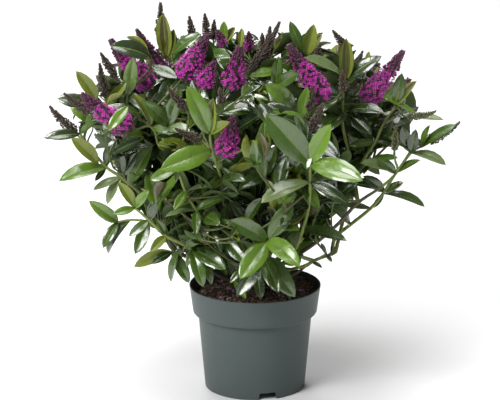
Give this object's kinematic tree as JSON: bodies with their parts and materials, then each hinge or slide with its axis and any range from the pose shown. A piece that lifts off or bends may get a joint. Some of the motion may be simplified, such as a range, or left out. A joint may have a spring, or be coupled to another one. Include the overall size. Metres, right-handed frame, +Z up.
{
  "type": "potted hebe shrub",
  "caption": "Bushy flowering evergreen shrub with lance-shaped leaves and purple flower spikes, standing in its tapered plastic nursery pot.",
  "frame": {"origin": "centre of the pot's foot, on the floor it stands on", "axes": "+Z up; the side seen in the picture faces -Y, with +X on its right"},
  "size_m": [0.5214, 0.5159, 0.5018],
  "materials": {
    "pot_plastic": "satin grey-green moulded plastic",
    "soil": "matte dark peat",
    "bark": "dull brown to green bark",
    "foliage": "glossy dark green leaves with magenta flower spikes"
  },
  "bodies": {
    "root": {"pot": "pot_plastic", "soil": "soil", "trunk": "bark", "bough_low_1": "bark", "bough_low_2": "bark", "bough_low_3": "bark", "bough_low_4": "bark", "bough_low_5": "bark", "bough_outer_1": "bark", "bough_outer_2": "bark", "bough_outer_3": "bark", "bough_outer_4": "bark", "bough_outer_5": "bark", "bough_outer_6": "bark", "bough_outer_7": "bark", "bough_upper_1": "bark", "bough_upper_2": "bark", "bough_upper_3": "bark", "bough_upper_4": "bark", "bough_upper_5": "bark", "bough_top": "bark", "foliage_low_1": "foliage", "foliage_low_2": "foliage", "foliage_low_3": "foliage", "foliage_low_4": "foliage", "foliage_low_5": "foliage", "foliage_outer_1": "foliage", "foliage_outer_2": "foliage", "foliage_outer_3": "foliage", "foliage_outer_4": "foliage", "foliage_outer_5": "foliage", "foliage_outer_6": "foliage", "foliage_outer_7": "foliage", "foliage_upper_1": "foliage", "foliage_upper_2": "foliage", "foliage_upper_3": "foliage", "foliage_upper_4": "foliage", "foliage_upper_5": "foliage", "foliage_top": "foliage"}
  },
  "joints": []
}
